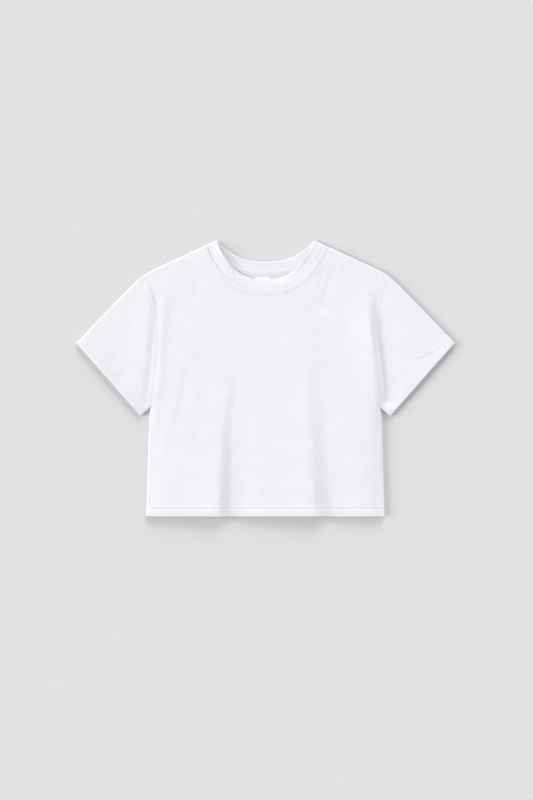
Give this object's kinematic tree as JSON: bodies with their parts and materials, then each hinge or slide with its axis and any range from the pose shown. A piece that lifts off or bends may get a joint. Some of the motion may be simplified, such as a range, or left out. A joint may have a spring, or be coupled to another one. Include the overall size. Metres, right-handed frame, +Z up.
{
  "type": "crop top",
  "caption": "Boxy cropped T-shirt in white cotton jersey, laid flat with its front up: short wide sleeves, ribbed crew neck, turned hem and cuffs.",
  "frame": {"origin": "on the surface that the garment lies on, under the middle of its span and length", "axes": "+X towards the wearer's left sleeve, +Y from the hem to the neck, +Z up from the surface through back and front"},
  "size_m": [0.699, 0.5101, 0.0107],
  "materials": {
    "jersey": "matte cotton jersey",
    "rib": "matte ribbed knit",
    "label": "smooth satin tape"
  },
  "bodies": {
    "root": {"front_panel": "jersey", "back_panel": "jersey", "sleeve_left": "jersey", "sleeve_right": "jersey", "neckband": "rib", "neck_label": "label"}
  },
  "joints": []
}
